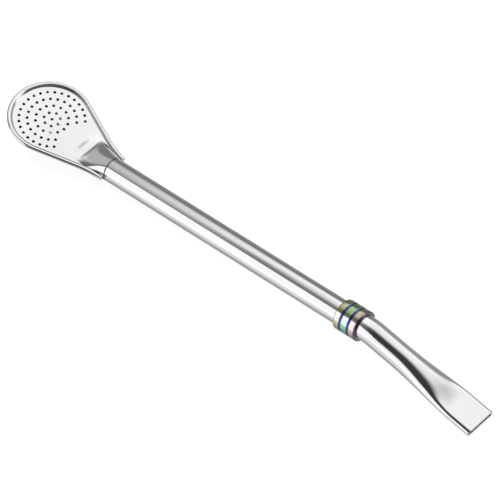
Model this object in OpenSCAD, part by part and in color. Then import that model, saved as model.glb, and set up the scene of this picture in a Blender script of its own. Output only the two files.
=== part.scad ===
// Bombilla: a metal drinking straw with a spoon-shaped strainer head and a flattened mouthpiece.
// The stem lies along X with the neck seam at the origin. The strainer reaches towards -X, its
// perforated face looks up (+Z), and the mouthpiece bends down at the +X end.

/* [Stem tube] */
// Outside diameter of the tube
tube_d = 8; // [7:0.1:9]
// Wall of the tube
tube_wall = 0.5; // [0.3:0.05:0.7]
// Straight length from the neck seam to the bend
stem_len = 104.5; // [60:0.5:160]
// Length of the drawn-in spigot that sits inside the neck
spigot_len = 7; // [4:0.5:8]

/* [Mouthpiece] */
// Angle by which the mouthpiece turns down
mouth_angle = 15.6; // [4:0.1:30]
// Length of the bend along the tube's axis
bend_len = 5; // [3:0.5:20]
// Length along the axis from the start of the bend to the lip
mouth_len = 46; // [32:0.5:70]
// Length past the start of the bend that stays round
round_len = 14; // [0:0.5:16]
// Length at the lip that is fully flattened
lip_len = 3; // [1:0.5:12]
// Thickness across the flattened lip
lip_thick = 2.6; // [1.8:0.1:5]
// Share of the flattening that passes before the oval is pressed to two flats
press_share = 0.46; // [0.1:0.02:0.6]
// Length over which the oval is pressed to two flats
press_len = 10; // [6:0.5:14]

/* [Strainer head] */
// Tilt of the perforated face to the stem
face_tilt = 14.2; // [8:0.1:20]
// Distance from the neck seam to the middle of the round bowl
bowl_reach = 27.2; // [24:0.1:34]
// Outside radius of the round rim
rim_r = 13.6; // [12:0.05:16]
// Depth of the bowl below its flange
bowl_depth = 7; // [5:0.1:9]
// Power that shapes the bowl's section, where a lower one gives steeper walls
bowl_power = 0.75; // [0.6:0.05:0.9]
// Angle of each flank to the head's middle line
flank_angle = 20.3; // [14:0.1:24]
// Width of the ear that stands out beside the tube at the neck
ear_w = 1.7; // [1.5:0.05:2.5]
// Length over which the flank flares out to the ear
ear_run = 9; // [5:0.5:12]
// Length over which the round neck opens into the bowl
neck_run = 15; // [12:0.5:20]
// Thickness of the stamped sheet
sheet = 0.4; // [0.3:0.05:0.5]
// Width of the hem that is rolled over the edge of the face
hem_lip = 1.5; // [1.3:0.05:1.7]
// Slant of the hem's inner edge
lip_slant = 0.3; // [0.1:0.05:0.4]
// Width of the flat flange between the hem's fold and the bowl's wall
flange_w = 0.25; // [0.15:0.05:0.5]
// Height of the face's edge above its perforated field
rim_lift = 0.45; // [0.2:0.05:0.6]
// Length of the ramp from the perforated field up to the edge
ramp_run = 0.65; // [0.4:0.05:1]

/* [Hood over the neck] */
// Length of the round part of the hood
hood_len = 8.8; // [6:0.1:10]
// Length of the blunt nose that drops to the apron
nose_len = 3; // [2:0.1:4]
// Height by which the hood stands above the line of the tube
hood_lift = 0.3; // [0:0.05:1.5]
// Half width by which the nose flares out
nose_flare = 1.6; // [0:0.05:2]
// Height of the low apron in front of the nose
apron_height = 0.25; // [0.1:0.05:0.5]
// Length over which the apron runs out into the flat face
apron_len = 2.8; // [1.5:0.1:3]

/* [Perforations] */
// Diameter of one hole
hole_d = 1; // [0.6:0.05:1.6]
// Distance from one ring of holes to the next
ring_pitch = 2.59; // [2:0.01:2.7]
// Holes in the innermost ring, which the second ring has twice
ring_holes = 7; // [5:1:9]
// Distance of the pattern's middle from the bowl's middle, towards the neck
pattern_shift = 0.72; // [0:0.02:1]
// Holes in the third ring, an arc that is open towards the neck
arc_3_holes = 18; // [10:1:20]
// Angle that the third ring spans
arc_3_span = 285.4; // [180:0.2:320]
// Holes in the fourth ring, an arc that is open towards the neck
arc_4_holes = 23; // [12:1:26]
// Angle that the fourth ring spans
arc_4_span = 276.3; // [180:0.1:300]

/* [Collar] */
// Length of the collar, whose far end stands where the bend starts
collar_len = 8.5; // [7:0.1:14]
// Wall of the collar
collar_wall = 1; // [0.8:0.05:2]
// Radius of the collar's rounded ends
collar_round = 0.45; // [0.1:0.05:0.7]
// Distance between the middles of the two grooves
groove_gap = 3.1; // [2:0.05:4]
// Width of one groove
groove_w = 1; // [0.5:0.05:1.4]
// Depth of one groove
groove_depth = 0.3; // [0.1:0.05:0.5]

/* [Fits] */
// Gap round the spigot in the neck, filled by the braze
braze_gap = 0.04; // [0.03:0.01:0.1]
// Width of the seam between the neck and the tube's shoulder
seam_gap = 0.15; // [0.05:0.01:0.3]
// Gap between the face's edge and the hem that grips it
hem_gap = 0.05; // [0.02:0.01:0.1]
// Gap in the collar's seat on the tube
collar_gap = 0.01; // [0:0.005:0.05]

/* [Hidden] */

// Tube
tube_r = tube_d / 2;
bore_r = tube_r - tube_wall;
neck_bore_r = tube_r - sheet;
spigot_r = neck_bore_r - braze_gap;
spigot_bore_r = spigot_r - tube_wall;
bore_taper = 1;

// Levels in the face's own frame, where the top of the perforated field is zero
flange_drop = sheet + hem_gap;
flange_low = rim_lift - flange_drop - sheet;
lip_low = rim_lift + hem_gap;
lip_top = lip_low + sheet;
hem_r = (lip_top - flange_low) / 2;
hem_mid = (lip_top + flange_low) / 2;
wall_inset = hem_r + flange_w;
ramp_in = wall_inset + sheet + hem_gap;
field_inset = ramp_in + ramp_run;

// Outline of the head
ear_half = tube_r + ear_w;
tangent_u = bowl_reach - rim_r * sin(flank_angle);
tangent_w = rim_r * cos(flank_angle);
neck_over = (tube_r + sheet) * tan(face_tilt) + sheet;
nose_end = hood_len + nose_len;
hood_end = nose_end + apron_len;

// Mesh steps
flank_steps = 18;
fan_steps = 28;
wall_steps = 9;
flange_steps = 3;
hood_steps = 20;
border_steps = 5;
border_gap = 0.02;
arch_steps = 22;
tube_sides = 44;
mouth_steps = 22;

function smooth(t) =
    let (c = min(1, max(0, t)))
    c * c * (3 - 2 * c);

function mix(a, b, t) = a + (b - a) * t;

// Half width of the head at distance u from the seam: straight flanks that flare to the ears, then an arc
function flank(u) = tangent_w - (tangent_u - u) * tan(flank_angle);
function ear_flare(u) = (ear_half - flank(0)) * pow(max(0, 1 - u / ear_run), 2);
function half_width(u) =
    u > tangent_u ? sqrt(rim_r * rim_r - pow(bowl_reach - u, 2)) : flank(u) + ear_flare(u);

// Height of the tube's axis over the face's plane at distance u from the seam
function axis_height(u) = -u * tan(face_tilt);

// Height of the face over its perforated field, at a distance in from the head's outline
function rim_ramp(inset) = rim_lift * (1 - smooth((inset - ramp_in) / ramp_run));

// One point of the back's skin on a rib, at share t of the way from the middle line to the flange.
// The section is the lower half of the tube at the neck, and a deep dish in the bowl.
function back_skin(u, reach, t, r, drop, inset) =
    let (
        open = smooth(u / neck_run),
        wall = reach - wall_inset - inset,
        top = rim_ramp(reach - mix(r, wall, open)) - drop,
        tall = r / cos(face_tilt),
        cut = max(0, (axis_height(u) - top) / tall),
        turn = t * acos(cut),
        depth = top - axis_height(u) + tall,
        neck = [r * sin(turn), top - depth * (cos(turn) - cut) / (1 - cut)],
        across = sin(90 * t),
        bowl = [wall * across, top - bowl_depth * pow(max(0, 1 - across * across), bowl_power)]
    )
    mix(neck, bowl, open);

// The flange from the end of the wall to the fold lies under the face's edge and follows its ramp
function flange(reach, end, drop) = [
    for (k = [1 : flange_steps - 1])
    let (y = mix(end[0], reach - hem_r, k / flange_steps))
    [y, rim_ramp(reach - y) - drop]
];

// Section of the back along one rib: outer skin, flange, fold, lip, inside of the fold, flange, inner skin
function back_section(u, reach) =
    let (
        low = flange_drop + sheet,
        outer = [for (k = [0 : wall_steps]) back_skin(u, reach, k / wall_steps, tube_r, low, 0)],
        inner = [
            for (k = [wall_steps : -1 : 0])
            back_skin(u, reach, k / wall_steps, neck_bore_r, flange_drop, sheet)
        ],
        inner_flange = flange(reach, inner[0], flange_drop)
    )
    concat(
        outer,
        flange(reach, outer[wall_steps], low),
        [for (a = [-90 : 30 : 90]) [reach - hem_r + hem_r * cos(a), hem_mid + hem_r * sin(a)]],
        [[reach - hem_lip + lip_slant, lip_top], [reach - hem_lip, lip_low]],
        [for (a = [90 : -45 : -90])
            [reach - hem_r + (hem_r - sheet) * cos(a), hem_mid + (hem_r - sheet) * sin(a)]],
        [for (k = [flange_steps - 2 : -1 : 0]) inner_flange[k]],
        inner
    );

// Ribs run square to the middle line along the flanks, and fan out from the bowl's middle at the tip
rib_last = 2 * flank_steps + fan_steps;
fan_end = flank_steps + fan_steps;
function rib_share(i) = min(i, rib_last - i) / flank_steps;
function in_fan(i) = i > flank_steps && i < fan_end;
function rib_u(i) = in_fan(i) ? bowl_reach : mix(-neck_over, bowl_reach, rib_share(i));
function rib_turn(i) = 90 - 180 * min(1, max(0, (i - flank_steps) / fan_steps));
function rib_reach(i) = in_fan(i) ? rim_r : half_width(rib_u(i));
function rib_points(i) =
    [for (p = back_section(rib_u(i), rib_reach(i)))
        [-rib_u(i) - p[0] * cos(rib_turn(i)), p[0] * sin(rib_turn(i)), p[1]]];

// The first and last point of a rib lie on the middle line, where the two sides share them
function shared_rib(i) = in_fan(i) ? flank_steps : min(i, rib_last - i);
function rib_index(i, k, count) = (k == 0 || k == count - 1 ? shared_rib(i) : i) * count + k;

function whole(triangles) = [for (t = triangles) if (t[0] != t[1] && t[1] != t[2] && t[2] != t[0]) t];

module back_sheet() {
    count = len(back_section(0, half_width(0)));
    skin = [
        for (i = [0 : rib_last - 1], k = [0 : count - 2])
        let (
            a = rib_index(i, k, count),
            b = rib_index(i, k + 1, count),
            c = rib_index(i + 1, k + 1, count),
            d = rib_index(i + 1, k, count)
        )
        each [[a, b, c], [a, c, d]]
    ];
    neck_end = concat(
        [for (k = [count - 1 : -1 : 0]) rib_index(0, k, count)],
        [for (k = [1 : count - 2]) rib_index(rib_last, k, count)]
    );
    polyhedron([for (i = [0 : rib_last]) each rib_points(i)], concat(whole(skin), [neck_end]));
}

// The hood: a half pipe at the neck that flares to a blunt nose, with a low apron in front of it
function nose(u) = 1 - smooth((u - hood_len) / nose_len);
function hood_soft(u) = smooth(u / hood_len);
function hood_power(u) = 1 + 2 * hood_soft(u);
function apron(u) = apron_height * hood_soft(u) * (1 - smooth((u - nose_end) / apron_len));
function hood_rise(u) = tube_r / cos(face_tilt) + axis_height(u) + (hood_lift - apron_height) * hood_soft(u);
function hood_height(u) = hood_rise(u) * nose(u) + apron(u);
function hood_half(u) = tube_r + nose_flare * smooth(u / nose_end);

// The arch is cut off where it meets the face's edge, and share runs from one foot (-1) to the other (1)
function hood_turn(u) =
    let (foot = rim_ramp(half_width(u) - hood_half(u)))
    foot > 0 ? acos(pow(foot / hood_height(u), 1 / hood_power(u))) : 90;
function hood_skin(u, share) =
    let (turn = share * hood_turn(u))
    [hood_half(u) * sin(turn), hood_height(u) * pow(max(0, cos(turn)), hood_power(u))];
function hood_lining(u, share) =
    let (
        turn = share * hood_turn(u),
        outer = hood_skin(u, share),
        round_in = [neck_bore_r * sin(turn), (hood_height(u) - sheet) * cos(turn)],
        even_in = [outer[0] - sheet * nose(u) * sin(turn), outer[1] - sheet]
    )
    mix(round_in, even_in, smooth(u / hood_len * 2));

// The face's border between its edge and the perforated field, which the ramp crosses
function border_inset(k) = k == 0 ? hem_r : ramp_in + ramp_run * (k - 1) / (border_steps - 1);
function border_side(u) =
    let (foot = hood_skin(u, 1)[0])
    [
        for (k = [0 : border_steps])
        let (y = max(half_width(u) - border_inset(k), foot + border_gap * (border_steps + 1 - k)))
        [y, rim_ramp(half_width(u) - y)]
    ];

// Section of the face across the hood, with the upper skin first and the lower skin back
function hood_section(u) =
    let (
        side = border_side(u),
        out = [for (k = [0 : border_steps]) side[border_steps - k]],
        shares = [for (k = [0 : arch_steps]) 2 * k / arch_steps - 1],
        foot = [hood_lining(u, 1)[0], hood_skin(u, 1)[1] - sheet]
    )
    concat(
        [for (p = side) [-p[0], p[1]]],
        [for (t = shares) hood_skin(u, t)],
        out,
        [for (p = side) [p[0], p[1] - sheet]],
        [foot],
        [for (k = [arch_steps - 1 : -1 : 1]) hood_lining(u, shares[k])],
        [[-foot[0], foot[1]]],
        [for (p = out) [-p[0], p[1] - sheet]]
    );

module hood_sheet() {
    us = [for (j = [0 : hood_steps]) mix(-neck_over, hood_end, j / hood_steps)];
    sections = [for (u = us) [for (p = hood_section(u)) [-u, p[0], p[1]]]];
    loft(sections);
}

// Solid through a row of closed sections with equal counts
module loft(sections) {
    count = len(sections[0]);
    last = len(sections) - 1;
    sides = [
        for (j = [0 : last - 1], k = [0 : count - 1])
        let (
            a = j * count + k,
            b = j * count + (k + 1) % count,
            c = b + count,
            d = a + count
        )
        each [[a, c, b], [a, d, c]]
    ];
    half = count / 2;
    ends = [
        for (k = [0 : half - 2])
        let (a = k, b = k + 1, c = count - 2 - k, d = count - 1 - k, far = last * count)
        each [[a, b, c], [a, c, d], [far + a, far + c, far + b], [far + a, far + d, far + c]]
    ];
    polyhedron([for (s = sections) each s], concat(sides, ends));
}

// Places along the head's outline from the end of the hood round the tip: distance, turn and reach
rim_flank = [for (k = [0 : flank_steps]) mix(hood_end, bowl_reach, k / flank_steps)];
rim_places = concat(
    [for (u = rim_flank) [u, 90, half_width(u)]],
    [for (k = [1 : fan_steps - 1]) [bowl_reach, 90 - 180 * k / fan_steps, rim_r]],
    [for (k = [flank_steps : -1 : 0]) [rim_flank[k], -90, half_width(rim_flank[k])]]
);
function rim_point(place, inset) =
    let (y = place[2] - inset)
    [-place[0] - y * cos(place[1]), y * sin(place[1])];

module border_sheet() {
    insets = [for (k = [0 : border_steps]) border_inset(k)];
    loft([
        for (place = rim_places)
        concat(
            [for (k = [border_steps : -1 : 0]) [each rim_point(place, insets[k]), rim_ramp(insets[k])]],
            [for (inset = insets) [each rim_point(place, inset), rim_ramp(inset) - sheet]]
        )
    ]);
}

// Flat field of the face inside the border
field_outline = [for (place = rim_places) rim_point(place, field_inset)];

// Angles of the holes in one ring, counted from the tip
function ring_angles(count) = [for (k = [0 : count - 1]) 180 + 360 * k / count];
function arc_angles(count, span) = [for (k = [0 : count - 1]) span * (k / (count - 1) - 0.5)];

module hole_ring(ring, angles) {
    for (a = angles)
        translate([-ring * ring_pitch * cos(a), ring * ring_pitch * sin(a)])
            circle(d = hole_d, $fn = 24);
}

module perforations() {
    translate([pattern_shift - bowl_reach, 0]) {
        circle(d = hole_d, $fn = 24);
        hole_ring(1, ring_angles(ring_holes));
        hole_ring(2, ring_angles(2 * ring_holes));
        hole_ring(3, arc_angles(arc_3_holes, arc_3_span));
        hole_ring(4, arc_angles(arc_4_holes, arc_4_span));
    }
}

// Turns the face's own frame into the stem's frame
module head_frame() {
    rotate([0, face_tilt, 0]) children();
}

// Everything on the tube's side of the seam, square to the tube
module past_seam() {
    side = 4 * ear_half;
    translate([-seam_gap, -side / 2, -side / 2]) cube(side);
}

module strainer_face() {
    color("silver")
        difference() {
            head_frame() {
                translate([0, 0, -sheet])
                    linear_extrude(sheet)
                        difference() {
                            polygon(field_outline);
                            perforations();
                        }
                border_sheet();
                hood_sheet();
            }
            past_seam();
        }
}

module strainer_back() {
    color("lightgray")
        difference() {
            head_frame() back_sheet();
            past_seam();
        }
}

// Axis of the tube at distance s past the start of the bend: x, z and the angle turned so far
bend_r = bend_len / (mouth_angle * PI / 180);
function axis_at(s) =
    let (turn = mouth_angle * min(1, max(0, s / bend_len)), past = max(0, s - bend_len))
    [
        stem_len + min(0, s) + bend_r * sin(turn) + past * cos(turn),
        -bend_r * (1 - cos(turn)) - past * sin(turn),
        turn
    ];

// The tube keeps the length of its outline while it is flattened, first to an oval and then to two flats
flat_start = mouth_len - lip_len;
press_start = mix(round_len, flat_start, press_share);
oval_share = 0.175;
function thickness(s) = mix(tube_d, lip_thick, smooth((s - round_len) / (flat_start - round_len)));
function pressed(s) = smooth((s - press_start) / press_len);
function tube_ring(s, inset) =
    let (
        at = axis_at(s),
        lost = tube_d - thickness(s),
        half = thickness(s) / 2 - inset,
        flat = PI * lost / 4
    )
    [
        for (k = [0 : tube_sides - 1])
        let (
            a = 360 * (k + 0.5) / tube_sides,
            oval = [(flat + half) * cos(a), (half + oval_share * lost) * sin(a)],
            loop = [half * cos(a) + sign(cos(a)) * flat, half * sin(a)],
            p = mix(oval, loop, pressed(s))
        )
        [at[0] + p[1] * sin(at[2]), p[0], at[1] + p[1] * cos(at[2])]
    ];

// The straight tube ends inside the collar, where the mouthpiece's wall starts within its own
split_x = stem_len - collar_len / 2;
splice = 1;
splice_inset = 0.01;
mouth_at = concat(
    [split_x - splice - stem_len],
    [for (j = [0 : mouth_steps]) mouth_len * j / mouth_steps]
);

module mouth_shell() {
    outside = [for (s = mouth_at) tube_ring(s, splice_inset)];
    inside = [for (s = mouth_at) tube_ring(s, tube_wall - splice_inset)];
    last = len(mouth_at) - 1;
    inner = len(mouth_at) * tube_sides;
    rows = [for (j = [0 : last - 1], k = [0 : tube_sides - 1]) [
        j * tube_sides + k,
        j * tube_sides + (k + 1) % tube_sides
    ]];
    skins = [
        for (r = rows)
        each [
            [r[0], r[1] + tube_sides, r[1]],
            [r[0], r[0] + tube_sides, r[1] + tube_sides],
            [inner + r[0], inner + r[1], inner + r[1] + tube_sides],
            [inner + r[0], inner + r[1] + tube_sides, inner + r[0] + tube_sides]
        ]
    ];
    far = last * tube_sides;
    rims = [
        for (k = [0 : tube_sides - 1])
        let (n = (k + 1) % tube_sides)
        each [
            [k, n, inner + n],
            [k, inner + n, inner + k],
            [far + k, inner + far + n, far + n],
            [far + k, inner + far + k, inner + far + n]
        ]
    ];
    polyhedron([for (r = concat(outside, inside)) each r], concat(skins, rims));
}

module stem_tube() {
    color("gainsboro") {
        rotate([0, 90, 0])
            rotate_extrude($fn = 96)
                polygon([
                    [spigot_bore_r, -spigot_len],
                    [spigot_r, -spigot_len],
                    [spigot_r, 0],
                    [tube_r, 0],
                    [tube_r, split_x],
                    [bore_r, split_x],
                    [bore_r, bore_taper],
                    [spigot_bore_r, 0]
                ]);
        mouth_shell();
    }
}

// One end of the collar's profile is a rounded corner, and a groove is a shallow trough
collar_r = tube_r + collar_wall;
collar_bore_r = tube_r + collar_gap;
function groove_profile(middle) = [
    [collar_r, middle - groove_w / 2],
    [collar_r - groove_depth, middle - groove_w / 2 + groove_depth / 2],
    [collar_r - groove_depth, middle + groove_w / 2 - groove_depth / 2],
    [collar_r, middle + groove_w / 2]
];
function corner(end, from) = [
    for (a = [from : 15 : from + 90])
        [collar_r - collar_round + collar_round * cos(a), end + collar_round * sin(a)]
];

module collar_ring() {
    color("mediumpurple")
        translate([stem_len - collar_len / 2, 0, 0])
            rotate([0, 90, 0])
                rotate_extrude($fn = 96)
                    polygon(concat(
                        [[collar_bore_r, -collar_len / 2]],
                        corner(-collar_len / 2 + collar_round, -90),
                        groove_profile(-groove_gap / 2),
                        groove_profile(groove_gap / 2),
                        corner(collar_len / 2 - collar_round, 0),
                        [[collar_bore_r, collar_len / 2]]
                    ));
}

strainer_face();
strainer_back();
stem_tube();
collar_ring();
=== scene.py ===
import math

import bmesh
import bpy
from mathutils import Matrix, Vector
from mathutils.geometry import delaunay_2d_cdt


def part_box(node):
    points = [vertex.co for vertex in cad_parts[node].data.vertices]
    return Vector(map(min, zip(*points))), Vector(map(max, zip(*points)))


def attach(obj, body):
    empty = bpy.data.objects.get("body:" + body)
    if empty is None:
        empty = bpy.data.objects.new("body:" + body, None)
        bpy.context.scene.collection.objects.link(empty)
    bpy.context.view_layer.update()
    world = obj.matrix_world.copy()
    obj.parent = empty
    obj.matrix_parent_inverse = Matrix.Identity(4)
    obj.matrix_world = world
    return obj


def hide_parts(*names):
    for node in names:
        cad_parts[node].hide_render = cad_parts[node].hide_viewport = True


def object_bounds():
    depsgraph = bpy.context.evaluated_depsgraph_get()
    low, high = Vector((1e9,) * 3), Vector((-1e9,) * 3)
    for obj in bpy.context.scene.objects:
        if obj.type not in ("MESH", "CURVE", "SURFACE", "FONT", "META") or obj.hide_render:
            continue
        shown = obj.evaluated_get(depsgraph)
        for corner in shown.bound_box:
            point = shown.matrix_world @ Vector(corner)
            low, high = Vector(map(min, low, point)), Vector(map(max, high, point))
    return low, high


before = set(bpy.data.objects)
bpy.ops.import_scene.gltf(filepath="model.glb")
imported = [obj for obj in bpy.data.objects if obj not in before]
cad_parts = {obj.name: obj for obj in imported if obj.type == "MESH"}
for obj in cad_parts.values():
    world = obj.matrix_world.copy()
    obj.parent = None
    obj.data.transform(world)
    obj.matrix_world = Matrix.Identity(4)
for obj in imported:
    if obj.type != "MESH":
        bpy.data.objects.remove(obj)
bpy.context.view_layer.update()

# All lengths below are in millimetres, and meshes are scaled to metres when they are made
MM = 0.001

# Stem tube and mouthpiece
TUBE_R = 4.0
TUBE_WALL = 0.5
STEM_LEN = 104.5
SPIGOT_LEN = 1.2
MOUTH_ANGLE = math.radians(15.6)
BEND_LEN = 5.0
MOUTH_LEN = 46.0
ROUND_LEN = 14.0
LIP_LEN = 7.5
LIP_THICK = 2.6
PRESS_SHARE = 0.47
PRESS_LEN = 12.0
OVAL_SHARE = 0.175
EDGE_ROUND = 0.18

# Strainer head
TILT = math.radians(14.2)
BOWL_REACH = 27.2
RIM_R = 13.6
BOWL_DEPTH = 7.0
BOWL_POWER = 0.75
FLANK = math.radians(20.3)
EAR_W = 1.7
EAR_RUN = 9.0
NECK_RUN = 15.0
SHEET = 0.4
HEM_LIP = 1.55
LIP_FALL = 0.28
LIP_ROUND = 0.06
FLANGE_W = 0.25
RIM_LIFT = 0.45
FLANK_IN = 0.82
FLANK_RUN = 1.05
TIP_IN = 1.25
TIP_RUN = 0.65
TIP_SPREAD = math.radians(50)
TIP_FADE = math.radians(40)
CROWN_DEGREES = 115

# Hood over the neck
HOOD_LEN = 10.0
NOSE_LEN = 1.6
NOSE_DENT = 1.0
HOOD_LIFT = -0.75
HOOD_FLARE = 1.4
FLARE_LEN = 7.5
APRON_HEIGHT = 0.48
APRON_LEN = 3.1

# Perforations
HOLE_R = 0.44
HOLE_BREAK = 0.09
RING_PITCH = 2.59
RING_HOLES = 7
PATTERN_SHIFT = 0.72
ARC_3 = (18, math.radians(285.4))
ARC_4 = (23, math.radians(276.3))

# Collar
COLLAR_LEN = 8.5
COLLAR_WALL = 1.0
COLLAR_ROUND = 0.45
GROOVE_GAP = 3.1
GROOVE_W = 1.0
GROOVE_DEPTH = 0.3
GROOVE_SPAN = 1.15
GROOVE_FLOOR = 0.45

# Fits
BRAZE_GAP = 0.04
SEAM_GAP = 0.3
HEM_GAP = 0.05
COLLAR_GAP = 0.01

# Sizes that follow from the ones above
SPIGOT_R = TUBE_R - SHEET - BRAZE_GAP
NECK_BORE_R = TUBE_R - SHEET
FLANGE_DROP = SHEET + HEM_GAP
FLANGE_LOW = RIM_LIFT - FLANGE_DROP - SHEET
LIP_LOW = RIM_LIFT + HEM_GAP
LIP_TOP = LIP_LOW + SHEET
HEM_R = (LIP_TOP - FLANGE_LOW) / 2
HEM_MID = (LIP_TOP + FLANGE_LOW) / 2
WALL_INSET = HEM_R + FLANGE_W
FIELD_INSET = FLANK_IN + FLANK_RUN
EAR_HALF = TUBE_R + EAR_W
TANGENT_U = BOWL_REACH - RIM_R * math.sin(FLANK)
TANGENT_W = RIM_R * math.cos(FLANK)
NECK_OVER = (TUBE_R + SHEET) * math.tan(TILT) + SHEET
NOSE_END = HOOD_LEN + NOSE_LEN
HOOD_END = NOSE_END + APRON_LEN
FLAT_START = MOUTH_LEN - LIP_LEN
PRESS_START = ROUND_LEN + PRESS_SHARE * (FLAT_START - ROUND_LEN)

# Mesh steps, and the distance of the stem's first plain ring from the seam
FLANK_STEPS = 110
FAN_STEPS = 120
WALL_STEPS = 26
FOLD_STEPS = 18
LIP_STEPS = 10
LIP_TOP_STEPS = 4
LIP_LOW_STEPS = 6
FLANGE_STEPS = 8
HOOD_STEPS = 90
ARCH_STEPS = 64
RAMP_STEPS = 18
HOLE_SIDES = 32
TUBE_SIDES = 160
FIRST_RING = 1.0
STEM_STEPS = 40
MOUTH_STEPS = 120
EDGE_STEPS = 6
COLLAR_SIDES = 192
CORNER_STEPS = 8
GROOVE_STEPS = 24

# Mesh tolerances and the angles, in degrees, past which an edge is sharp
WELD = 1e-4
CUT = 1e-5
THIN = 1e-6
SHEET_SHARP = 35
COLLAR_SHARP = 50


def smooth(t):
    """Soft step from 0 to 1."""
    c = min(1.0, max(0.0, t))
    return c * c * (3 - 2 * c)


def mix(a, b, t):
    return a + (b - a) * t


def steps(first, last, count):
    """count + 1 even values from first to last."""
    return [mix(first, last, k / count) for k in range(count + 1)]


# Outline of the head, where u is the distance from the neck seam towards the tip

def flank_width(u):
    return TANGENT_W - (TANGENT_U - u) * math.tan(FLANK)


def half_width(u):
    if u > TANGENT_U:
        return math.sqrt(RIM_R ** 2 - (BOWL_REACH - u) ** 2)
    flare = max(0.0, 1 - u / EAR_RUN) ** 2
    return flank_width(u) + (EAR_HALF - flank_width(0)) * flare


def axis_height(u):
    return -u * math.tan(TILT)


def head_point(u, y, z):
    """Turns a point of the face's own frame into the stem's frame."""
    return Vector((
        -u * math.cos(TILT) + z * math.sin(TILT),
        y,
        u * math.sin(TILT) + z * math.cos(TILT),
    ))


# Meshes

def make_piece(name, bm, node, material, sharp=SHEET_SHARP):
    """Turns a mesh in millimetres into a smooth piece that stands for a CAD node."""
    bmesh.ops.remove_doubles(bm, verts=bm.verts, dist=WELD)
    bmesh.ops.recalc_face_normals(bm, faces=bm.faces)
    bmesh.ops.scale(bm, vec=(MM, MM, MM), verts=bm.verts)
    mesh = bpy.data.meshes.new(name)
    bm.to_mesh(mesh)
    bm.free()
    mesh.shade_smooth()
    mesh.set_sharp_from_angle(angle=math.radians(sharp))
    piece = bpy.data.objects.new(name, mesh)
    bpy.context.scene.collection.objects.link(piece)
    mesh.materials.append(material)
    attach(piece, "root")
    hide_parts(node)


def add_grid(bm, rows, closed=False):
    """Skins a row of point lists with quads, and joins each list to itself where it is closed."""
    made = [[bm.verts.new(p) for p in row] for row in rows]
    for near, far in zip(made, made[1:]):
        count = len(near)
        last = count if closed else count - 1
        for k in range(last):
            n = (k + 1) % count
            bm.faces.new((near[k], near[n], far[n], far[k]))


def cut_past_seam(bm):
    """Takes away what lies on the tube's side of the seam, and closes the cut."""
    geom = bm.verts[:] + bm.edges[:] + bm.faces[:]
    cut = bmesh.ops.bisect_plane(
        bm, geom=geom, dist=CUT, plane_co=(-SEAM_GAP, 0, 0), plane_no=(1, 0, 0), clear_outer=True
    )
    edges = [e for e in cut["geom_cut"] if isinstance(e, bmesh.types.BMEdge)]
    bmesh.ops.edgenet_fill(bm, edges=edges)


# Strainer back: half pipe at the neck, dish in the bowl, and the rim rolled over the face

def rim_ramp(inset, start=FLANK_IN, run=FLANK_RUN):
    """Height of the face at a distance inside the rim, with a ramp of some length from its start."""
    return RIM_LIFT * (1 - smooth((inset - start) / run))


def ramp_span(turn):
    """Start and length of the ramp, which lies further in and is steeper round the tip."""
    flank = smooth((abs(turn) - TIP_SPREAD) / TIP_FADE)
    return mix(TIP_IN, FLANK_IN, flank), mix(TIP_RUN, FLANK_RUN, flank)


def back_skin(u, reach, t, r, drop, inset):
    """A point of the back's skin, at share t from the middle line to the flange under the face."""
    opened = smooth(u / NECK_RUN)
    wall = reach - WALL_INSET - inset
    top = rim_ramp(reach - mix(r, wall, opened)) - drop
    tall = r / math.cos(TILT)
    cut = max(0.0, (axis_height(u) - top) / tall)
    turn = t * math.acos(cut)
    depth = top - axis_height(u) + tall
    neck_y = r * math.sin(turn)
    neck_z = top - depth * (math.cos(turn) - cut) / (1 - cut)
    across = math.sin(t * math.pi / 2)
    bowl_z = top - BOWL_DEPTH * max(0.0, 1 - across * across) ** BOWL_POWER
    return mix(neck_y, wall * across, opened), mix(neck_z, bowl_z, opened)


def flange(reach, skin_end, drop):
    """Points between the end of a skin and the hem, which follow the face's underside."""
    ys = steps(skin_end[0], reach - HEM_R, FLANGE_STEPS)
    return [(y, rim_ramp(reach - y) - drop) for y in ys[1:-1]]


def arc(middle_a, middle_b, r, first, last, count):
    """Points round a middle, between two angles in degrees."""
    angles = steps(math.radians(first), math.radians(last), count)
    return [(middle_a + r * math.cos(a), middle_b + r * math.sin(a)) for a in angles]


def back_section(u, reach):
    """Line of the back on one rib, from the middle of its outside round the hem to its inside."""
    shares = steps(0, 1, WALL_STEPS)
    low_drop = FLANGE_DROP + SHEET
    outer = [back_skin(u, reach, t, TUBE_R, low_drop, 0) for t in shares]
    outer += flange(reach, outer[-1], low_drop)
    inner = [back_skin(u, reach, t, NECK_BORE_R, FLANGE_DROP, SHEET) for t in shares]
    inner += flange(reach, inner[-1], FLANGE_DROP)
    fold = arc(reach - HEM_R, HEM_MID, HEM_R, -90, 90, FOLD_STEPS)
    lip_in = reach - HEM_LIP + LIP_ROUND
    crown = []
    for s in steps(0, 1, LIP_STEPS)[1:-1]:
        crown.append((mix(reach - HEM_R, lip_in, s), LIP_TOP - LIP_FALL * s * s))
    lip_top = arc(lip_in, LIP_TOP - LIP_FALL - LIP_ROUND, LIP_ROUND, CROWN_DEGREES, 180, LIP_TOP_STEPS)
    lip_low = arc(lip_in, LIP_LOW + LIP_ROUND, LIP_ROUND, 180, 270, LIP_LOW_STEPS)
    pocket = arc(reach - HEM_R, HEM_MID, HEM_R - SHEET, 90, -90, LIP_STEPS)
    return outer + fold + crown + lip_top + lip_low + pocket + inner[::-1]


def rib_points(section, u, turn):
    """Places a section on a rib that leaves the middle line at u and points at an angle from the tip."""
    return [head_point(u + y * math.cos(turn), y * math.sin(turn), z) for y, z in section]


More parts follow.
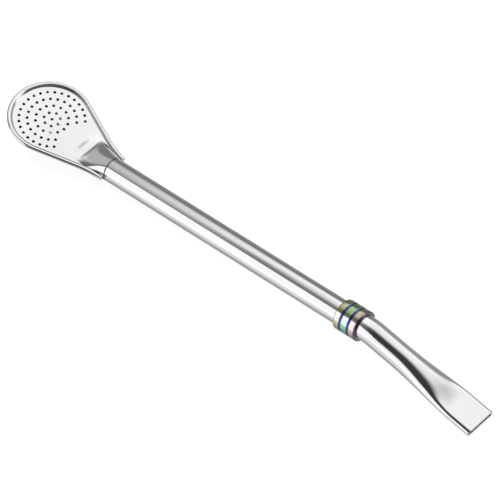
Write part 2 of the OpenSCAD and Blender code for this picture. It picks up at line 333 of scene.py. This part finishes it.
def rib_places():
    """Place, direction and reach of each rib, from one ear round the tip to the other."""
    flank = steps(-NECK_OVER, BOWL_REACH, FLANK_STEPS)
    quarter = math.pi / 2
    places = [(u, quarter, half_width(u)) for u in flank]
    places += [(BOWL_REACH, a, RIM_R) for a in steps(quarter, -quarter, FAN_STEPS)[1:-1]]
    places += [(u, -quarter, half_width(u)) for u in reversed(flank)]
    return places


def make_back(material):
    bm = bmesh.new()
    add_grid(bm, [rib_points(back_section(u, reach), u, turn) for u, turn, reach in rib_places()])
    bmesh.ops.remove_doubles(bm, verts=bm.verts, dist=WELD)
    cut_past_seam(bm)
    make_piece("strainer_back_shell", bm, "strainer_back", material)


# Strainer face: flat perforated field, ramp up to the rim, and the hood over the neck

def hood_height(u, dent=0.0):
    """Height of the hood, whose nose may be dented towards the neck by some length."""
    nose = 1 - smooth((u + dent - HOOD_LEN) / NOSE_LEN)
    apron = APRON_HEIGHT * (1 - smooth((u - NOSE_END) / APRON_LEN))
    body = TUBE_R / math.cos(TILT) + axis_height(u) + HOOD_LIFT * smooth(u / HOOD_LEN)
    return (body - APRON_HEIGHT * smooth(u / HOOD_LEN)) * nose + apron * smooth(u / HOOD_LEN)


def hood_half(u):
    return TUBE_R + HOOD_FLARE * smooth(u / FLARE_LEN)


def hood_power(u):
    """The section is round at the seam, and a low swell further on."""
    return 1 + smooth(u / HOOD_LEN)


def hood_foot(u):
    """Height at which the hood's side meets the face."""
    return rim_ramp(half_width(u) - hood_half(u))


def hood_side(u, share):
    """A point of the hood's skin, at a share from one foot (-1) to the other (1)."""
    tall = max(hood_height(u), THIN)
    power = hood_power(u)
    foot = hood_foot(u)
    limit = math.acos((foot / tall) ** (1 / power)) if foot < tall else 0.0
    turn = share * limit
    arch = max(0.0, math.cos(turn))
    dented = max(hood_height(u, NOSE_DENT * arch ** 2), THIN)
    return hood_half(u) * math.sin(turn), dented * arch ** power


def border_side(u, side):
    """Points of the face from its edge to the hood's foot, on one side of the middle line."""
    edge = half_width(u) - HEM_R
    foot_y, foot_z = hood_side(u, 1)
    inner = max(foot_y, half_width(u) - FIELD_INSET)
    points = []
    for y in steps(edge, inner, RAMP_STEPS):
        points.append((side * y, max(rim_ramp(half_width(u) - y), 0.0)))
    points.append((side * mix(inner, foot_y, 0.5), mix(points[-1][1], foot_z, 0.5)))
    return points


def face_section(u):
    """Upper line of the face across the hood, from the near edge to the far edge."""
    arch = [hood_side(u, s) for s in steps(-1, 1, ARCH_STEPS)]
    return border_side(u, -1) + arch + border_side(u, 1)[::-1]


def add_sheet_strip(bm, rows):
    """Upper skin, and a lower skin one sheet thickness below it in the face's own frame."""
    for drop in (0, SHEET):
        add_grid(bm, [[head_point(u, y, z - drop) for u, y, z in row] for row in rows])


def hole_middles():
    """Middles of the perforations on the face, as u and y."""
    middle = BOWL_REACH - PATTERN_SHIFT
    places = [(0, 0.0)]
    places += [(1, math.pi + 2 * math.pi * k / RING_HOLES) for k in range(RING_HOLES)]
    places += [(2, math.pi + math.pi * k / RING_HOLES) for k in range(2 * RING_HOLES)]
    for ring, (count, span) in ((3, ARC_3), (4, ARC_4)):
        places += [(ring, span * (k / (count - 1) - 0.5)) for k in range(count)]
    return [
        (middle + ring * RING_PITCH * math.cos(a), ring * RING_PITCH * math.sin(a)) for ring, a in places
    ]


def circle(middle, r):
    turns = [2 * math.pi * k / HOLE_SIDES for k in range(HOLE_SIDES)]
    return [(middle[0] + r * math.cos(a), middle[1] + r * math.sin(a)) for a in turns]


def add_field(bm, outline, z):
    """Flat field with the perforations left open."""
    rim_r = HOLE_R + HOLE_BREAK
    inside = rim_r * math.cos(math.pi / HOLE_SIDES)
    middles = hole_middles()
    loops = [outline] + [circle(m, rim_r) for m in middles]
    points = []
    edges = []
    for loop in loops:
        start = len(points)
        points += [Vector(p) for p in loop]
        edges += [(start + k, start + (k + 1) % len(loop)) for k in range(len(loop))]
    border = list(range(len(outline)))
    inside_only = 1
    verts, _, faces, _, _, _ = delaunay_2d_cdt(points, edges, [border], inside_only, CUT)
    made = [bm.verts.new(head_point(v[0], v[1], z)) for v in verts]
    for face in faces:
        middle = sum((verts[k] for k in face), Vector((0, 0))) / len(face)
        if all((middle - Vector(m)).length > inside for m in middles):
            bm.faces.new([made[k] for k in face])


def add_hole_walls(bm):
    """Bores of the perforations, with a broken edge above and below."""
    levels = [(HOLE_R + HOLE_BREAK, 0), (HOLE_R, -HOLE_BREAK)]
    levels += [(HOLE_R, HOLE_BREAK - SHEET), (HOLE_R + HOLE_BREAK, -SHEET)]
    for middle in hole_middles():
        rows = [[head_point(u, y, z) for u, y in circle(middle, r)] for r, z in levels]
        add_grid(bm, rows, closed=True)


def make_face(material):
    bm = bmesh.new()
    hood_rows = []
    for u in steps(-NECK_OVER, HOOD_END, HOOD_STEPS):
        hood_rows.append([(u, y, z) for y, z in face_section(u)])
    add_sheet_strip(bm, hood_rows)
    border_rows = []
    for u, turn, reach in rib_places():
        if turn in (math.pi / 2, -math.pi / 2) and u < HOOD_END:
            continue
        row = []
        start, run = ramp_span(turn)
        for y in steps(reach - HEM_R, reach - start - run, RAMP_STEPS):
            row.append((u + y * math.cos(turn), y * math.sin(turn), rim_ramp(reach - y, start, run)))
        border_rows.append(row)
    end_edge = half_width(HOOD_END)
    for side, place in ((1, 0), (-1, len(border_rows) + 1)):
        ys = steps(end_edge - HEM_R, end_edge - FIELD_INSET, RAMP_STEPS)
        border_rows.insert(place, [(HOOD_END, side * y, rim_ramp(end_edge - y)) for y in ys])
    add_sheet_strip(bm, border_rows)
    edge_line = [row[0] for row in hood_rows] + [row[0] for row in border_rows[::-1]]
    edge_line += [row[-1] for row in hood_rows[::-1]]
    add_grid(bm, [[head_point(u, y, z - drop) for u, y, z in edge_line] for drop in (0, SHEET)])
    across = [(u, y) for u, y, z in hood_rows[-1] if abs(y) < end_edge - FIELD_INSET - THIN]
    outline = [(row[-1][0], row[-1][1]) for row in border_rows] + across
    add_field(bm, outline, 0)
    add_field(bm, outline, -SHEET)
    add_hole_walls(bm)
    bmesh.ops.remove_doubles(bm, verts=bm.verts, dist=WELD)
    cut_past_seam(bm)
    make_piece("strainer_face_plate", bm, "strainer_face", material)


# Stem tube: drawn-in spigot, straight tube, bend and flattened mouthpiece

def axis_at(s):
    """Place of the tube's axis at a distance past the start of the bend, and the angle turned so far."""
    turn = MOUTH_ANGLE * min(1.0, max(0.0, s / BEND_LEN))
    bend_r = BEND_LEN / MOUTH_ANGLE
    past = max(0.0, s - BEND_LEN)
    x = STEM_LEN + min(0.0, s) + bend_r * math.sin(turn) + past * math.cos(turn)
    z = -bend_r * (1 - math.cos(turn)) - past * math.sin(turn)
    return x, z, turn


def thickness(s):
    return mix(2 * TUBE_R, LIP_THICK, smooth((s - ROUND_LEN) / (FLAT_START - ROUND_LEN)))


def tube_ring(s, inset):
    """Ring of points round the tube: a circle, then an oval, then a flat loop of the same length."""
    x, z, turn = axis_at(s)
    half = thickness(s) / 2
    flat = math.pi * (TUBE_R - half) / 2
    wide = flat + half - inset
    tall = half + 2 * OVAL_SHARE * (TUBE_R - half) - inset
    pressed = smooth((s - PRESS_START) / PRESS_LEN)
    r = half - inset
    quarter = math.pi * TUBE_R / 2
    points = []
    for k in range(TUBE_SIDES):
        along = 4 * (k + 0.5) / TUBE_SIDES
        corner, share = divmod(along, 1)
        length = share * quarter
        if corner in (1, 3):
            length = quarter - length
        if length < flat:
            across, up = length, r
        else:
            angle = (length - flat) / half
            across, up = flat + r * math.sin(angle), r * math.cos(angle)
        oval = length / TUBE_R
        across = mix(wide * math.sin(oval), across, pressed)
        up = mix(tall * math.cos(oval), up, pressed)
        side = across if corner in (0, 1) else -across
        rise = up if corner in (0, 3) else -up
        points.append(Vector((x + rise * math.sin(turn), side, z + rise * math.cos(turn))))
    return points


def tube_profile():
    """Distance past the bend and inset of each ring, from inside the spigot round the lip and back."""
    seam = -STEM_LEN
    spigot_in = TUBE_R - SPIGOT_R
    bevel = EDGE_ROUND / 2
    plain = seam + FIRST_RING
    outside = [(seam - SPIGOT_LEN, spigot_in), (seam, spigot_in), (seam, bevel), (seam + bevel, 0)]
    outside += [(s, 0) for s in steps(plain, 0, STEM_STEPS)]
    lip_start = MOUTH_LEN - EDGE_ROUND
    outside += [(s, 0) for s in steps(0, lip_start, MOUTH_STEPS)[1:]]
    lip_out = []
    for a in steps(0, math.pi / 2, EDGE_STEPS)[1:]:
        lip_out.append((lip_start + EDGE_ROUND * math.sin(a), EDGE_ROUND * (1 - math.cos(a))))
    lip_in = [(s, TUBE_WALL - inset) for s, inset in reversed(lip_out)]
    inside = [(s, TUBE_WALL) for s in steps(lip_start, 0, MOUTH_STEPS)]
    inside += [(s, TUBE_WALL) for s in steps(0, plain, STEM_STEPS)[1:]]
    inside += [(seam, spigot_in + TUBE_WALL), (seam - SPIGOT_LEN, spigot_in + TUBE_WALL)]
    rings = outside + lip_out + lip_in + inside
    return rings + rings[:1]


def make_tube(material):
    bm = bmesh.new()
    add_grid(bm, [tube_ring(s, inset) for s, inset in tube_profile()], closed=True)
    make_piece("stem_tube_drawn", bm, "stem_tube", material)


# Collar: turned ring with two shallow grooves and rounded ends

def collar_profile():
    """Closed line of the ring's section, as a place along the ring and a radius."""
    outer = TUBE_R + COLLAR_WALL
    bore = TUBE_R + COLLAR_GAP
    half = COLLAR_LEN / 2
    inset = half - COLLAR_ROUND
    points = [(-half, bore)]
    points += arc(-inset, outer - COLLAR_ROUND, COLLAR_ROUND, 180, 90, CORNER_STEPS)
    for middle in (-GROOVE_GAP / 2, GROOVE_GAP / 2):
        for s in steps(-GROOVE_SPAN, GROOVE_SPAN, GROOVE_STEPS):
            dip = GROOVE_DEPTH * (1 - smooth((abs(s) - GROOVE_FLOOR) / (1 - GROOVE_FLOOR)))
            points.append((middle + s * GROOVE_W / 2, outer - dip))
    points += arc(inset, outer - COLLAR_ROUND, COLLAR_ROUND, 90, 0, CORNER_STEPS)
    points.append((half, bore))
    return points + points[:1]


def make_collar(material):
    bm = bmesh.new()
    middle = STEM_LEN - COLLAR_LEN / 2
    turns = [2 * math.pi * k / COLLAR_SIDES for k in range(COLLAR_SIDES)]
    rows = []
    for x, r in collar_profile():
        rows.append([Vector((middle + x, r * math.cos(a), r * math.sin(a))) for a in turns])
    add_grid(bm, rows, closed=True)
    make_piece("collar_ring_turned", bm, "collar_ring", material, sharp=COLLAR_SHARP)


# Materials

SMUDGE_SPAN = (0.35, 0.65)
SMUDGE_SHADE = 0.94
# Painted shade in the seam gap: the tube's steel is painted dark short of its end at the seam
SEAM_SHADE_FADE = 0.04 * MM
SEAM_SHADE_DARK = (0.03, 0.03, 0.03)
SEAM_SHADE_TONE = (0.06, 0.055, 0.05)
LINE_DEPTH = 0.02 * MM
COAT_DRIFT = 0.4 * MM
# Direction across the collar along which its colour is painted darker above and lighter below, as
# painted light and shade
PAINTED_LIGHT_WAY = (0, 0.85, 0.53)
GROOVE_BLUE = (0.07, 0.10, 0.42)
# Painted shade at the collar's two ends, where it meets the tube
SEAM_END_SHADE = (0.07, 0.06, 0.07)
MOUTH_END_SHADE = (0.22, 0.18, 0.23)
BLUE_SHARE = 0.6
SEAM_STOPS = (0.01, 0.03, 0.12)
MOUTH_STOPS = (0.84, 0.94, 0.985)
LINES_EVEN = (1, 1, 1)
LINES_ROUND = (12, 1, 1)


class Nodes:
    """Short hand for building a node tree."""

    def __init__(self, owner):
        owner.use_nodes = True
        self.tree = owner.node_tree
        self.tree.nodes.clear()

    def add(self, kind, inputs=None, **settings):
        node = self.tree.nodes.new(kind)
        for key, value in settings.items():
            setattr(node, key, value)
        for key, value in (inputs or {}).items():
            if isinstance(value, bpy.types.NodeSocket):
                self.tree.links.new(value, node.inputs[key])
            else:
                node.inputs[key].default_value = value
        return node

    def calc(self, operation, *values):
        return self.add("ShaderNodeMath", dict(enumerate(values)), operation=operation).outputs[0]

    def along(self, place, way):
        """Length of a place along a direction."""
        node = self.add("ShaderNodeVectorMath", {0: place, 1: way}, operation="DOT_PRODUCT")
        return node.outputs["Value"]

    def axes(self, place):
        split = self.add("ShaderNodeSeparateXYZ", {"Vector": place})
        return [split.outputs[axis] for axis in "XYZ"]

    def total(self, base, parts):
        """Base plus each share times its strength."""
        for share, strength in parts:
            base = self.calc("MULTIPLY_ADD", share, strength, base)
        return base

    def fade(self, value, none, full):
        """Soft step of a value, from 0 at one limit to 1 at the other."""
        limits = {"Value": value, "From Min": none, "From Max": full}
        return self.add("ShaderNodeMapRange", limits, interpolation_type="SMOOTHSTEP").outputs["Result"]

    def spread(self, value, low, high, start=0.0, end=1.0):
        """Even step of a value between two limits, from start to end."""
        limits = {"Value": value, "From Min": low, "From Max": high, "To Min": start, "To Max": end}
        return self.add("ShaderNodeMapRange", limits).outputs["Result"]

    def noise(self, place, scale, detail):
        settings = {"Vector": place, "Scale": scale, "Detail": detail}
        return self.add("ShaderNodeTexNoise", settings).outputs["Fac"]

    def ramp(self, factor, stops):
        node = self.add("ShaderNodeValToRGB", {"Fac": factor})
        line = node.color_ramp
        for k, (place, colour) in enumerate(stops):
            stop = line.elements[k] if k < len(line.elements) else line.elements.new(place)
            stop.position = place
            stop.color = (*colour, 1)
        return node.outputs["Color"]

    def blend(self, share, first, second):
        inputs = {"Fac": share, "Color1": first, "Color2": second}
        return self.add("ShaderNodeMixRGB", inputs).outputs[0]

    def metal(self, place, colour, rough, stretch, scale, detail, depth):
        """Metal surface with fine lines, stretched as given, from polishing or turning."""
        stretched = self.add("ShaderNodeMapping", {"Vector": place, "Scale": stretch}).outputs[0]
        lines = self.noise(stretched, scale, detail)
        bump = self.add("ShaderNodeBump", {"Height": lines, "Strength": depth, "Distance": LINE_DEPTH})
        surface = self.add("ShaderNodeBsdfPrincipled", {
            "Base Color": colour, "Roughness": rough, "Normal": bump.outputs["Normal"], "Metallic": 1.0,
        })
        self.add("ShaderNodeOutputMaterial", {"Surface": surface.outputs["BSDF"]})


def polished_steel(name, tone, rough, stretch=LINES_EVEN, seam_shade_end=None):
    """Polished stainless steel with fine polishing lines, soft smudges and a little tone variation.

    Short of the given end along X, inside the seam gap, the steel is painted dark as shade in the gap.
    """
    material = bpy.data.materials.new(name)
    nodes = Nodes(material)
    place = nodes.add("ShaderNodeTexCoord").outputs["Object"]
    smudge = nodes.noise(place, scale=70.0, detail=4.0)
    shaded = tuple(c * SMUDGE_SHADE for c in tone)
    colour = nodes.ramp(smudge, list(zip(SMUDGE_SPAN, (shaded, tone))))
    # Painted shade: dark steel short of the given end, where the tube sits in the seam gap
    if seam_shade_end is not None:
        unshaded = nodes.fade(nodes.axes(place)[0], none=seam_shade_end - SEAM_SHADE_FADE, full=seam_shade_end)
        seam_shaded = nodes.ramp(smudge, list(zip(SMUDGE_SPAN, (SEAM_SHADE_DARK, SEAM_SHADE_TONE))))
        colour = nodes.blend(unshaded, seam_shaded, colour)
    gloss = nodes.spread(smudge, low=0.3, high=0.75, start=rough * 0.75, end=rough * 1.4)
    nodes.metal(place, colour, gloss, stretch, scale=900.0, detail=3.0, depth=0.05)
    return material


def coating_bands(nodes, share, end, side, middle, tip):
    """Colours along the collar: three bands with a blue groove between them, and two ends painted dark
    as shade where the collar meets the tube.
    """
    half_gap = GROOVE_GAP / 2 / COLLAR_LEN
    half_groove = GROOVE_W / 2 / COLLAR_LEN
    half_blue = half_groove * BLUE_SHARE
    # Painted shade at the collar's seam end
    stops = list(zip(SEAM_STOPS, (SEAM_END_SHADE, end, side)))
    for groove, before, after in ((0.5 - half_gap, side, middle), (0.5 + half_gap, middle, side)):
        stops.append((groove - half_groove, before))
        stops.append((groove - half_blue, GROOVE_BLUE))
        stops.append((groove + half_blue, GROOVE_BLUE))
        stops.append((groove + half_groove, after))
    stops += zip(MOUTH_STOPS, (side, tip, MOUTH_END_SHADE))
    return nodes.ramp(share, stops)


def rainbow_coating():
    """Heat-tinted coating in bands along the collar, with painted light and shade round it from lit and
    shaded copies of the bands.
    """
    material = bpy.data.materials.new("rainbow_coating")
    nodes = Nodes(material)
    low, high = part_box("collar_ring")
    place = nodes.add("ShaderNodeTexCoord").outputs["Object"]
    cloud = nodes.noise(place, scale=260.0, detail=3.0)
    drifted = nodes.calc("ADD", nodes.axes(place)[0], nodes.calc("MULTIPLY", cloud, COAT_DRIFT))
    share = nodes.spread(drifted, low=low.x + COAT_DRIFT / 2, high=high.x + COAT_DRIFT / 2)
    # Shaded copy of the bands: painted shade on the upper side
    upper = coating_bands(
        nodes, share, end=(0.36, 0.30, 0.24), side=(0.47, 0.48, 0.22),
        middle=(0.33, 0.48, 0.22), tip=(0.44, 0.31, 0.40),
    )
    # Lit copy of the bands: a painted highlight just below the middle
    painted_highlight_bands = coating_bands(
        nodes, share, end=(0.80, 0.62, 0.64), side=(0.84, 0.84, 0.74),
        middle=(0.80, 0.88, 0.88), tip=(0.82, 0.60, 0.78),
    )
    # Copy of the bands for the lower near side, painted lighter than the upper side
    lower = coating_bands(
        nodes, share, end=(0.66, 0.46, 0.46), side=(0.64, 0.58, 0.40),
        middle=(0.32, 0.62, 0.46), tip=(0.70, 0.44, 0.64),
    )
    # Painted light and shade: the copies are blended by height across the collar
    height = nodes.calc("DIVIDE", nodes.along(place, PAINTED_LIGHT_WAY), high.y)
    near_side = nodes.blend(nodes.fade(height, none=-0.75, full=-0.15), lower, painted_highlight_bands)
    colour = nodes.blend(nodes.fade(height, none=-0.12, full=0.12), near_side, upper)
    gloss = nodes.spread(cloud, low=0.0, high=1.0, start=0.06, end=0.12)
    nodes.metal(place, colour, gloss, LINES_ROUND, scale=700.0, detail=2.0, depth=0.04)
    return material


# Camera, as the photograph was taken

CAMERA_RIGHT = Vector((0.7294, 0.6781, -0.0899))
CAMERA_UP = Vector((-0.4542, 0.5784, 0.6776))
CAMERA_BACK = Vector((0.5115, -0.4534, 0.7299))
CAMERA_ASIDE = 42.291
CAMERA_DOWN = 24.651
CAMERA_AWAY = 1243.147
FOCAL_PIXELS = 4020.76
PHOTO_PIXELS = 500
SENSOR = 36.0


def make_camera():
    data = bpy.data.cameras.new("camera")
    data.sensor_width = SENSOR
    data.lens = FOCAL_PIXELS / PHOTO_PIXELS * SENSOR
    data.clip_start = 0.05
    data.clip_end = 50
    camera = bpy.data.objects.new("camera", data)
    spot = CAMERA_ASIDE * CAMERA_RIGHT - CAMERA_DOWN * CAMERA_UP + CAMERA_AWAY * CAMERA_BACK
    axes = Matrix((CAMERA_RIGHT, CAMERA_UP, CAMERA_BACK)).transposed().to_4x4()
    camera.matrix_world = Matrix.Translation(spot * MM) @ axes
    bpy.context.scene.collection.objects.link(camera)
    bpy.context.scene.camera = camera


# Floor: the plane on which the straw rests with its belly and the tip of the mouthpiece

FLOOR_SIDE = 8
MICROMETRE_DIGITS = 6
X_AXIS = Vector((1, 0, 0))
Y_AXIS = Vector((0, 1, 0))
Z_AXIS = Vector((0, 0, 1))


def resting_line():
    """Two points, as x and z, of the lower outline's stretch that carries the weight."""
    spots = set()
    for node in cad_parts.values():
        for v in node.data.vertices:
            spots.add((round(v.co.x, MICROMETRE_DIGITS), round(v.co.z, MICROMETRE_DIGITS)))
    hull = []
    for x, z in sorted(spots):
        while len(hull) > 1 and turns_up(hull[-2], hull[-1], (x, z)) <= 0:
            hull.pop()
        hull.append((x, z))
    low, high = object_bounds()
    middle = (low.x + high.x) / 2
    return next((a, b) for a, b in zip(hull, hull[1:]) if a[0] <= middle <= b[0])


def turns_up(a, b, c):
    return (b[0] - a[0]) * (c[1] - a[1]) - (b[1] - a[1]) * (c[0] - a[0])


def make_plane(name, place, along, across, width, length, material):
    """Flat rectangle centred on a place, spanned by two directions."""
    mesh = bpy.data.meshes.new(name)
    corners = [(-1, -1), (1, -1), (1, 1), (-1, 1)]
    points = [place + along * (a * width / 2) + across * (b * length / 2) for a, b in corners]
    mesh.from_pydata(points, [], [(0, 1, 2, 3)])
    layer = mesh.uv_layers.new(name="span")
    for k, (a, b) in enumerate(corners):
        layer.data[k].uv = ((a + 1) / 2, (b + 1) / 2)
    mesh.materials.append(material)
    plane = bpy.data.objects.new(name, mesh)
    bpy.context.scene.collection.objects.link(plane)
    return plane


def make_floor():
    (x0, z0), (x1, z1) = resting_line()
    along = Vector((x1 - x0, 0, z1 - z0)).normalized()
    place = Vector(((x0 + x1) / 2, 0, (z0 + z1) / 2))
    material = bpy.data.materials.new("pale_floor")
    nodes = Nodes(material)
    pale = nodes.add("ShaderNodeBsdfPrincipled", {
        "Base Color": (0.35, 0.35, 0.35, 1), "Roughness": 0.8, "Specular IOR Level": 0.1,
        "Emission Color": (1, 1, 1, 1), "Emission Strength": 0.86,
    })
    nodes.add("ShaderNodeOutputMaterial", {"Surface": pale.outputs["BSDF"]})
    floor = make_plane("floor", place, along, Y_AXIS, FLOOR_SIDE, FLOOR_SIDE, material)
    floor.visible_glossy = False


# Studio light: two soft panels overhead, a softbox on the near left, one on the far right, and a lamp

NEAR_TURN = math.radians(34)
FAR_TURN = math.radians(40)


def panel_edge(dark, full, across=0.0, up=0.0):
    """Edge of a light panel: a direction over its span, and where along it the light is off and full."""
    return (across, up, 0), dark, full


def glow(name, strength, edges):
    """Light that fades in from the edges of its panel."""
    material = bpy.data.materials.new(name)
    nodes = Nodes(material)
    span = nodes.add("ShaderNodeTexCoord").outputs["UV"]
    level = strength
    for way, dark, full in edges:
        level = nodes.calc("MULTIPLY", nodes.fade(nodes.along(span, way), none=dark, full=full), level)
    light = nodes.add("ShaderNodeEmission", {"Strength": level})
    clear = nodes.add("ShaderNodeBsdfTransparent")
    both = nodes.add("ShaderNodeAddShader", {0: light.outputs[0], 1: clear.outputs[0]})
    nodes.add("ShaderNodeOutputMaterial", {"Surface": both.outputs[0]})
    return material


def make_panel(name, place, along, across, width, length, strength, edges):
    """Light panel that is seen in the metal, but not by the camera."""
    material = glow(name + "_glow", strength, edges)
    panel = make_plane(name, Vector(place), along, across, width, length, material)
    panel.visible_camera = False
    panel.visible_shadow = False


def make_lights():
    make_panel(
        "top_panel", place=(0.20, 0.30, 0.70), along=X_AXIS, across=Y_AXIS,
        width=2.0, length=2.4, strength=1.02, edges=[
            panel_edge(across=1, up=0.23, dark=0.227, full=0.41),
            panel_edge(across=1, dark=0.775, full=0.5),
            panel_edge(across=-0.16, up=1, dark=0.205, full=0.372),
            panel_edge(up=1, dark=1, full=0.66),
        ],
    )
    # A little above the top panel, because light planes in one level hide each other
    make_panel(
        "left_panel", place=(-0.85, 0.50, 0.71), along=X_AXIS, across=Y_AXIS,
        width=1.0, length=2.4, strength=0.3, edges=[
            panel_edge(across=1, up=-0.46, dark=0.89, full=0.825),
            panel_edge(across=1, dark=0.36, full=0.53),
            panel_edge(up=1, dark=0.08, full=0.22),
            panel_edge(up=1, dark=0.75, full=0.5),
        ],
    )
    near_side = Vector((math.cos(NEAR_TURN), -math.sin(NEAR_TURN), 0))
    make_panel(
        "near_softbox", place=(-2.41, -3.81, 1.85), along=near_side, across=Z_AXIS,
        width=4.65, length=4.8, strength=1.0, edges=[
            panel_edge(across=1, dark=0, full=0.2),
            panel_edge(across=1, dark=1, full=0.95),
            panel_edge(up=1, dark=1, full=0.94),
        ],
    )
    far_side = Vector((-math.sin(FAR_TURN), math.cos(FAR_TURN), 0))
    make_panel(
        "far_softbox", place=(2.30, 1.93, 1.50), along=far_side, across=Z_AXIS,
        width=1.8, length=3.4, strength=0.95, edges=[
            panel_edge(across=1, dark=0, full=0.3),
            panel_edge(across=1, dark=1, full=0.7),
            panel_edge(up=1, dark=1, full=0.85),
        ],
    )
    data = bpy.data.lights.new("floor_light", "AREA")
    data.shape = "DISK"
    data.size = 2.5
    data.energy = 30
    lamp = bpy.data.objects.new("floor_light", data)
    lamp.location = (0.1, 0.2, 2.2)
    lamp.visible_glossy = False
    bpy.context.scene.collection.objects.link(lamp)


# Room round the part: a level above and below, and what is added towards each side

ROOM_ABOVE = 0.05
SIDE_LEVEL = 0.18
RIGHT_LEVEL = 0.05
FAR_LEVEL = 0.13
LEFT_END_LEVEL = 0.15
ROOM_BELOW = 0.4
NEAR_LEFT_LEVEL = 0.7
FAR_DEEP_LEVEL = 0.35


def make_world():
    """Dim room round the part, which the camera itself sees as white."""
    world = bpy.data.worlds.new("studio")
    bpy.context.scene.world = world
    nodes = Nodes(world)
    x, y, z = nodes.axes(nodes.add("ShaderNodeTexCoord").outputs["Generated"])
    left = nodes.fade(x, none=-0.05, full=-0.5)
    far = nodes.fade(y, none=0.3, full=0.9)
    not_right = nodes.fade(x, none=0.25, full=0.0)
    low_front = nodes.calc("MULTIPLY", nodes.fade(z, none=0.7, full=0.3), not_right)
    side = nodes.calc("MAXIMUM", nodes.calc("MAXIMUM", left, far), low_front)
    right = nodes.fade(x, none=0.1, full=0.4)
    not_left = nodes.fade(x, none=-0.45, full=-0.25)
    far_open = nodes.calc("MULTIPLY", nodes.fade(y, none=0.7, full=0.95), not_left)
    left_end = nodes.fade(x, none=-0.6, full=-1.0)
    upper = nodes.total(ROOM_ABOVE, [
        (side, SIDE_LEVEL), (right, RIGHT_LEVEL), (far_open, FAR_LEVEL), (left_end, LEFT_END_LEVEL),
    ])
    near_left = nodes.calc("MULTIPLY", nodes.fade(y, none=-0.35, full=-0.95), left)
    deep = nodes.fade(z, none=-0.35, full=-0.65)
    far_deep = nodes.calc("MULTIPLY", nodes.fade(y, none=0.0, full=0.4), deep)
    lower = nodes.total(ROOM_BELOW, [(near_left, NEAR_LEFT_LEVEL), (far_deep, FAR_DEEP_LEVEL)])
    above = nodes.fade(z, none=-0.1, full=0.05)
    level = nodes.add("ShaderNodeMix", {"Factor": above, "A": lower, "B": upper}).outputs["Result"]
    seen = nodes.add("ShaderNodeLightPath").outputs["Is Camera Ray"]
    dim = nodes.add("ShaderNodeBackground", {"Color": (1, 1, 1, 1), "Strength": level})
    pale = nodes.add("ShaderNodeBackground", {"Color": (1, 1, 1, 1)})
    both = nodes.add("ShaderNodeMixShader", {0: seen, 1: dim.outputs[0], 2: pale.outputs[0]})
    nodes.add("ShaderNodeOutputWorld", {"Surface": both.outputs[0]})


make_camera()
make_floor()
make_lights()
make_world()
make_back(polished_steel("back_steel", tone=(0.80, 0.80, 0.81), rough=0.10))
make_face(polished_steel("face_steel", tone=(0.82, 0.82, 0.825), rough=0.09))
# The tube's steel is painted dark short of the seam, as shade in the seam gap
make_tube(polished_steel("tube_steel", tone=(0.80, 0.80, 0.81), rough=0.07, stretch=LINES_ROUND,
                         seam_shade_end=0.0))
make_collar(rainbow_coating())
bpy.context.scene.view_settings.view_transform = "Standard"
bpy.context.scene.view_settings.look = "None"
